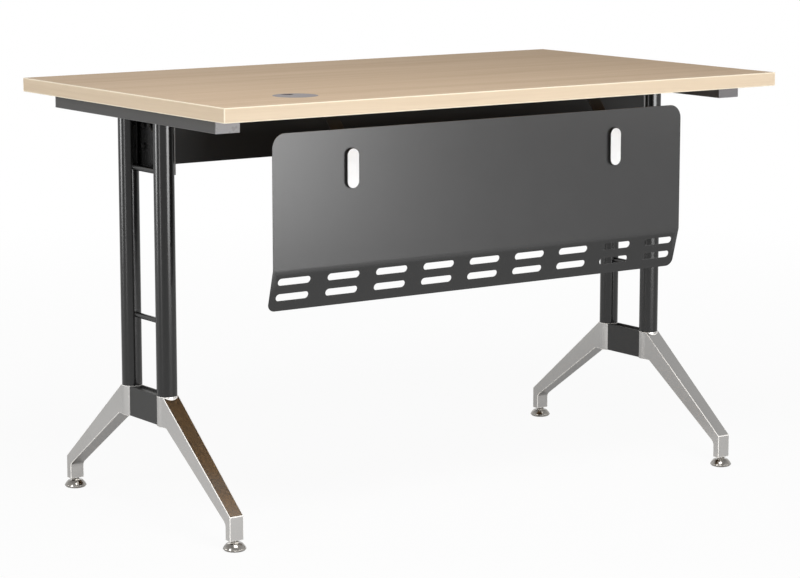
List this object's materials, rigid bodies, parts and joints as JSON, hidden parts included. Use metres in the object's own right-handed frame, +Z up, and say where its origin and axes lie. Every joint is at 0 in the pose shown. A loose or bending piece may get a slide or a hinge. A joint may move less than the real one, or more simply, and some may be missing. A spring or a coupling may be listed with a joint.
{
  "type": "office desk",
  "caption": "Rectangular office desk with a wood-laminate top, twin-tube legs on splayed cast feet with levelling glides, a cable tray, a cable grommet and a folded modesty panel.",
  "frame": {"origin": "on the floor under the middle of the desktop", "axes": "+X along the desktop's length to the right as seen from the panel side, +Y towards the user's side, away from the modesty panel, +Z up"},
  "size_m": [1.2, 0.7, 0.756],
  "materials": {
    "laminate": "pale wood-grain laminate, satin",
    "edge_band": "pale wood-print edge band, satin",
    "grey_plastic": "moulded, satin",
    "zinc_steel": "bright zinc plate",
    "dark_paint": "dark grey powder coat, semi-gloss",
    "cap_plastic": "mid grey moulded, satin",
    "cast_metal": "polished and lacquered casting",
    "glide_steel": "dark nickel plate",
    "sole_rubber": "matte",
    "tray_black": "black powder coat, semi-gloss",
    "panel_grey": "grey powder coat, fine texture",
    "cover_black": "moulded, matte",
    "cover_white": "light moulded, satin"
  },
  "bodies": {
    "frame": {"desktop_board": "laminate", "edge_band_front": "edge_band", "edge_band_rear": "edge_band", "edge_band_left": "edge_band", "edge_band_right": "edge_band", "grommet_liner": "grey_plastic", "support_beam_left": "dark_paint", "support_beam_right": "dark_paint", "beam_cap_left_front": "cap_plastic", "beam_cap_left_rear": "cap_plastic", "beam_cap_right_front": "cap_plastic", "beam_cap_right_rear": "cap_plastic", "beam_screws": "zinc_steel", "upright_left_front": "dark_paint", "upright_left_rear": "dark_paint", "upright_right_front": "dark_paint", "upright_right_rear": "dark_paint", "upright_plugs": "zinc_steel", "rung_left_upper": "dark_paint", "rung_left_lower": "dark_paint", "rung_right_upper": "dark_paint", "rung_right_lower": "dark_paint", "foot_left_front": "cast_metal", "foot_left_rear": "cast_metal", "foot_right_front": "cast_metal", "foot_right_rear": "cast_metal", "foot_block_left": "dark_paint", "foot_block_right": "dark_paint", "leg_bolts": "zinc_steel", "tie_rods": "zinc_steel", "cable_tray": "tray_black", "end_plate_left": "dark_paint", "end_plate_right": "dark_paint", "tray_bolts": "zinc_steel", "tray_nuts": "zinc_steel", "modesty_panel": "panel_grey", "hanger_left": "dark_paint", "hanger_right": "dark_paint", "hanger_screws": "zinc_steel", "panel_bolts": "zinc_steel", "panel_nuts": "zinc_steel", "cover_left": "cover_black", "cover_right": "cover_black", "cover_face_left": "cover_white", "cover_face_right": "cover_white"},
    "glide_pad_left_front": {"pad_left_front": "glide_steel", "sole_left_front": "sole_rubber"},
    "glide_stud_left_front": {"stud_left_front": "glide_steel"},
    "glide_pad_left_rear": {"pad_left_rear": "glide_steel", "sole_left_rear": "sole_rubber"},
    "glide_stud_left_rear": {"stud_left_rear": "glide_steel"},
    "glide_pad_right_front": {"pad_right_front": "glide_steel", "sole_right_front": "sole_rubber"},
    "glide_stud_right_front": {"stud_right_front": "glide_steel"},
    "glide_pad_right_rear": {"pad_right_rear": "glide_steel", "sole_right_rear": "sole_rubber"},
    "glide_stud_right_rear": {"stud_right_rear": "glide_steel"},
    "grommet_lid": {"grommet_lid": "grey_plastic", "grommet_clip": "zinc_steel"},
    "grommet_shutter": {"grommet_shutter": "grey_plastic"}
  },
  "joints": [
    {"name": "glide_height_left_front", "type": "slide", "parent": "frame", "child": "glide_pad_left_front", "axis": [0, 0, -1], "range_m": [0, 0.01]},
    {"name": "glide_turn_left_front", "type": "hinge", "parent": "glide_pad_left_front", "child": "glide_stud_left_front", "pos_m": [-0.546, -0.28, 0.015], "axis": [0, 0, -1], "range_deg": [0, 2880]},
    {"name": "glide_height_left_rear", "type": "slide", "parent": "frame", "child": "glide_pad_left_rear", "axis": [0, 0, -1], "range_m": [0, 0.01]},
    {"name": "glide_turn_left_rear", "type": "hinge", "parent": "glide_pad_left_rear", "child": "glide_stud_left_rear", "pos_m": [-0.546, 0.28, 0.015], "axis": [0, 0, -1], "range_deg": [0, 2880]},
    {"name": "glide_height_right_front", "type": "slide", "parent": "frame", "child": "glide_pad_right_front", "axis": [0, 0, -1], "range_m": [0, 0.01]},
    {"name": "glide_turn_right_front", "type": "hinge", "parent": "glide_pad_right_front", "child": "glide_stud_right_front", "pos_m": [0.546, -0.28, 0.015], "axis": [0, 0, -1], "range_deg": [0, 2880]},
    {"name": "glide_height_right_rear", "type": "slide", "parent": "frame", "child": "glide_pad_right_rear", "axis": [0, 0, -1], "range_m": [0, 0.01]},
    {"name": "glide_turn_right_rear", "type": "hinge", "parent": "glide_pad_right_rear", "child": "glide_stud_right_rear", "pos_m": [0.546, 0.28, 0.015], "axis": [0, 0, -1], "range_deg": [0, 2880]},
    {"name": "lid_turn", "type": "hinge", "parent": "frame", "child": "grommet_lid", "pos_m": [-0.385, -0.228, 0.755], "axis": [0, 0, 1], "continuous": true},
    {"name": "shutter_turn", "type": "hinge", "parent": "grommet_lid", "child": "grommet_shutter", "pos_m": [-0.385, -0.228, 0.753], "axis": [0, 0, 1], "continuous": true}
  ],
  "couplings": [
    {"joint": "glide_turn_left_front", "follows": "glide_height_left_front", "rad_per_m": 5026.5},
    {"joint": "glide_turn_left_rear", "follows": "glide_height_left_rear", "rad_per_m": 5026.5},
    {"joint": "glide_turn_right_front", "follows": "glide_height_right_front", "rad_per_m": 5026.5},
    {"joint": "glide_turn_right_rear", "follows": "glide_height_right_rear", "rad_per_m": 5026.5}
  ]
}
